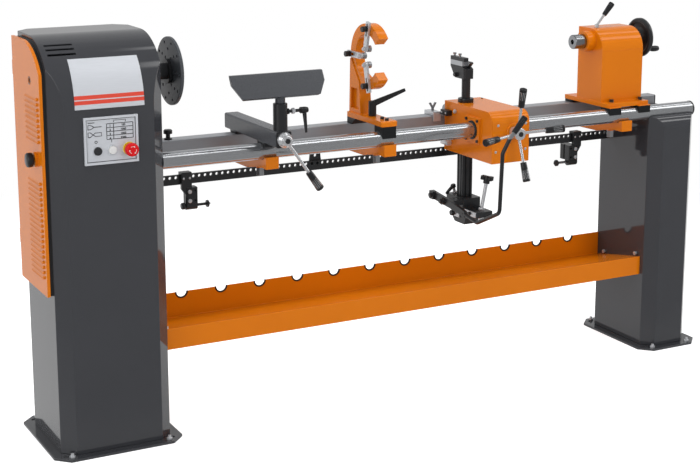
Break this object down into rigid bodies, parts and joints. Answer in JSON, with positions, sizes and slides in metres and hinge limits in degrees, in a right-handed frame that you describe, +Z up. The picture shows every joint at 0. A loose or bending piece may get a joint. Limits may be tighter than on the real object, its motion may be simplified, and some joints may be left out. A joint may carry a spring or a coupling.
{
  "type": "copying wood lathe",
  "caption": "Floor-standing copying lathe for wood: headstock and tail columns, tube and rail bed, tool rest, steady, copying carriage, pattern holder and tailstock.",
  "frame": {"origin": "on the floor under the middle of the headstock's floor plate", "axes": "+X along the bed from headstock to tailstock, +Y from the operator to the back, +Z up"},
  "size_m": [2.455, 0.5895, 1.2521],
  "materials": {
    "anthracite_paint": "gloss",
    "orange_paint": "semi-gloss",
    "bright_steel": "ground",
    "black_iron": "satin black",
    "black_plastic": "moulded",
    "panel_metal": "satin",
    "red_plastic": "moulded",
    "white_plastic": "moulded",
    "belt_rubber": "matt"
  },
  "bodies": {
    "frame": {"headstock_cabinet": "anthracite_paint", "headstock_base": "anthracite_paint", "tail_base": "anthracite_paint", "levelling_screws": "bright_steel", "name_plate": "anthracite_paint", "control_panel": "panel_metal", "drive_motor": "anthracite_paint", "drive_belt": "belt_rubber", "tail_column": "anthracite_paint", "front_bed_tube": "bright_steel", "rear_bed_rail": "bright_steel", "rail_fittings": "black_plastic", "tool_tray": "orange_paint", "notch_trims": "black_plastic", "template_bar": "black_iron"},
    "door": {"belt_door": "orange_paint"},
    "door_latch": {"door_knob": "black_plastic"},
    "stop_push": {"stop_button": "black_plastic"},
    "start_push": {"start_button": "white_plastic"},
    "emergency_push": {"emergency_stop": "red_plastic"},
    "work_spindle": {"spindle": "bright_steel", "faceplate": "black_iron"},
    "rotor": {"motor_pulley": "bright_steel"},
    "rest_base": {"banjo": "black_iron", "rest_clamp_bar": "orange_paint"},
    "rest_cam": {"cam_lever": "bright_steel"},
    "rest_column": {"rest_post": "bright_steel"},
    "rest_blade": {"tool_rest": "black_iron"},
    "rest_lock": {"rest_lock_lever": "black_plastic"},
    "steady": {"steady_frame": "orange_paint", "steady_clamp_bar": "orange_paint"},
    "steady_clamp": {"steady_lever": "black_plastic"},
    "top_arm": {"top_finger": "bright_steel"},
    "back_arm": {"back_finger": "bright_steel"},
    "low_arm": {"low_finger": "bright_steel"},
    "top_wheel": {"top_roller": "bright_steel"},
    "back_wheel": {"back_roller": "bright_steel"},
    "low_wheel": {"low_roller": "bright_steel"},
    "top_nut": {"top_knob": "black_plastic"},
    "back_nut": {"back_knob": "black_plastic"},
    "low_nut": {"low_knob": "black_plastic"},
    "carriage": {"carriage_box": "orange_paint", "tube_bushing": "black_plastic"},
    "rail_wheel": {"guide_roller": "bright_steel"},
    "carriage_capstan": {"capstan": "bright_steel"},
    "copy_slide": {"copy_post": "black_iron", "tool_head": "black_iron", "tracer_block": "black_iron", "hand_lever": "black_iron"},
    "depth_adjuster": {"depth_screw": "black_plastic"},
    "travel_stop": {"carriage_stop": "black_iron"},
    "tailstock": {"tailstock_body": "orange_paint", "tailstock_clamp_bar": "orange_paint"},
    "tail_quill": {"quill": "bright_steel"},
    "tail_wheel": {"handwheel": "black_iron"},
    "tail_crank": {"crank_handle": "black_plastic"},
    "quill_lock": {"quill_lock_lever": "bright_steel"},
    "left_pattern_holder": {"left_pattern_bracket": "black_iron"},
    "right_pattern_holder": {"right_pattern_bracket": "black_iron"},
    "pattern_spindle": {"pattern_centre": "bright_steel"}
  },
  "joints": [
    {"name": "spindle_turn", "type": "hinge", "parent": "frame", "child": "work_spindle", "pos_m": [0.2, -0.015, 1.12], "axis": [1, 0, 0], "continuous": true},
    {"name": "motor_turn", "type": "hinge", "parent": "frame", "child": "rotor", "pos_m": [-0.1, 0, 0.72], "axis": [1, 0, 0], "continuous": true},
    {"name": "door_swing", "type": "hinge", "parent": "frame", "child": "door", "pos_m": [-0.182, 0.143, 0.86], "axis": [0, 0, 1], "range_deg": [-105, 0]},
    {"name": "door_knob_turn", "type": "hinge", "parent": "door", "child": "door_latch", "pos_m": [-0.203, -0.08, 0.899], "axis": [1, 0, 0], "range_deg": [0, 90]},
    {"name": "stop_press", "type": "slide", "parent": "frame", "child": "stop_push", "axis": [0, 1, 0], "range_m": [0, 0.004], "stiffness_N_per_m": 500},
    {"name": "start_press", "type": "slide", "parent": "frame", "child": "start_push", "axis": [0, 1, 0], "range_m": [0, 0.004], "stiffness_N_per_m": 500},
    {"name": "emergency_press", "type": "slide", "parent": "frame", "child": "emergency_push", "axis": [0, 1, 0], "range_m": [0, 0.006], "stiffness_N_per_m": 800},
    {"name": "rest_travel", "type": "slide", "parent": "frame", "child": "rest_base", "axis": [1, 0, 0], "range_m": [-0.06, 0.12]},
    {"name": "cam_throw", "type": "hinge", "parent": "rest_base", "child": "rest_cam", "pos_m": [0.528, -0.247, 0.918], "axis": [0, 1, 0], "range_deg": [-30, 60]},
    {"name": "rest_height", "type": "slide", "parent": "rest_base", "child": "rest_column", "axis": [0, 0, 1], "range_m": [0, 0.03]},
    {"name": "rest_swivel", "type": "hinge", "parent": "rest_column", "child": "rest_blade", "pos_m": [0.528, -0.208, 1.04], "axis": [0, 0, 1], "range_deg": [-60, 60]},
    {"name": "rest_lock_turn", "type": "hinge", "parent": "rest_base", "child": "rest_lock", "pos_m": [0.57, -0.208, 1], "axis": [1, 0, 0], "range_deg": [-60, 40]},
    {"name": "steady_travel", "type": "slide", "parent": "frame", "child": "steady", "axis": [1, 0, 0], "range_m": [-0.06, 0.06]},
    {"name": "steady_clamp_turn", "type": "hinge", "parent": "steady", "child": "steady_clamp", "pos_m": [0.946, -0.027, 0.94], "axis": [0, 0, 1], "range_deg": [-75, 45]},
    {"name": "top_finger_reach", "type": "slide", "parent": "steady", "child": "top_arm", "axis": [0, -0.2079, 0.9781], "range_m": [-0.01, 0.014]},
    {"name": "top_roller_turn", "type": "hinge", "parent": "top_arm", "child": "top_wheel", "pos_m": [0.9355, -0.02061, 1.14641], "axis": [1, 0, 0], "continuous": true},
    {"name": "top_knob_turn", "type": "hinge", "parent": "steady", "child": "top_nut", "pos_m": [0.91, -0.03475, 1.21292], "axis": [1, 0, 0], "continuous": true},
    {"name": "back_finger_reach", "type": "slide", "parent": "steady", "child": "back_arm", "axis": [0, 1, 0], "range_m": [-0.01, 0.014]},
    {"name": "back_roller_turn", "type": "hinge", "parent": "back_arm", "child": "back_wheel", "pos_m": [0.9355, 0.012, 1.12], "axis": [1, 0, 0], "continuous": true},
    {"name": "back_knob_turn", "type": "hinge", "parent": "steady", "child": "back_nut", "pos_m": [0.91, 0.08, 1.12], "axis": [1, 0, 0], "continuous": true},
    {"name": "low_finger_reach", "type": "slide", "parent": "steady", "child": "low_arm", "axis": [0, -0.2419, -0.9703], "range_m": [-0.01, 0.014]},
    {"name": "low_roller_turn", "type": "hinge", "parent": "low_arm", "child": "low_wheel", "pos_m": [0.9355, -0.02153, 1.0938], "axis": [1, 0, 0], "continuous": true},
    {"name": "low_knob_turn", "type": "hinge", "parent": "steady", "child": "low_nut", "pos_m": [0.91, -0.03798, 1.02782], "axis": [1, 0, 0], "continuous": true},
    {"name": "carriage_travel", "type": "slide", "parent": "frame", "child": "carriage", "axis": [1, 0, 0], "range_m": [-0.01, 0.3]},
    {"name": "capstan_turn", "type": "hinge", "parent": "carriage", "child": "carriage_capstan", "pos_m": [1.367, -0.25, 0.867], "axis": [0, 1, 0], "continuous": true},
    {"name": "guide_roller_turn", "type": "hinge", "parent": "carriage", "child": "rail_wheel", "pos_m": [1.313, 0.1, 0.9024], "axis": [0, 1, 0], "continuous": true},
    {"name": "copy_feed", "type": "slide", "parent": "carriage", "child": "copy_slide", "axis": [0, 0, 1], "range_m": [-0.055, 0.022]},
    {"name": "depth_screw_turn", "type": "hinge", "parent": "copy_slide", "child": "depth_adjuster", "pos_m": [1.33, -0.096, 0.572], "axis": [0.19, 0, 0.9818], "range_deg": [-180, 180]},
    {"name": "travel_stop_set", "type": "slide", "parent": "frame", "child": "travel_stop", "axis": [1, 0, 0], "range_m": [-0.15, 0]},
    {"name": "tailstock_travel", "type": "slide", "parent": "frame", "child": "tailstock", "axis": [1, 0, 0], "range_m": [-0.04, 0.08]},
    {"name": "handwheel_turn", "type": "hinge", "parent": "tailstock", "child": "tail_wheel", "pos_m": [2.03, -0.015, 1.12], "axis": [1, 0, 0], "range_deg": [-1620, 1620]},
    {"name": "quill_feed", "type": "slide", "parent": "tailstock", "child": "tail_quill", "axis": [-1, 0, 0], "range_m": [-0.046, 0.046]},
    {"name": "crank_spin", "type": "hinge", "parent": "tail_wheel", "child": "tail_crank", "pos_m": [2.07, -0.057, 1.082], "axis": [1, 0, 0], "continuous": true},
    {"name": "quill_lock_turn", "type": "hinge", "parent": "tailstock", "child": "quill_lock", "pos_m": [1.853, -0.015, 1.17], "axis": [0, 0, 1], "range_deg": [-40, 40]},
    {"name": "left_pattern_travel", "type": "slide", "parent": "frame", "child": "left_pattern_holder", "axis": [1, 0, 0], "range_m": [-0.05, 0.05]},
    {"name": "right_pattern_travel", "type": "slide", "parent": "frame", "child": "right_pattern_holder", "axis": [1, 0, 0], "range_m": [-0.05, 0.03]},
    {"name": "pattern_centre_feed", "type": "slide", "parent": "right_pattern_holder", "child": "pattern_spindle", "axis": [1, 0, 0], "range_m": [-0.015, 0.03]}
  ],
  "couplings": [
    {"joint": "motor_turn", "follows": "spindle_turn", "ratio": 1.2},
    {"joint": "capstan_turn", "follows": "carriage_travel", "rad_per_m": 45.455},
    {"joint": "guide_roller_turn", "follows": "carriage_travel", "rad_per_m": 62.5},
    {"joint": "quill_feed", "follows": "handwheel_turn", "m_per_rad": -0.0015915}
  ]
}
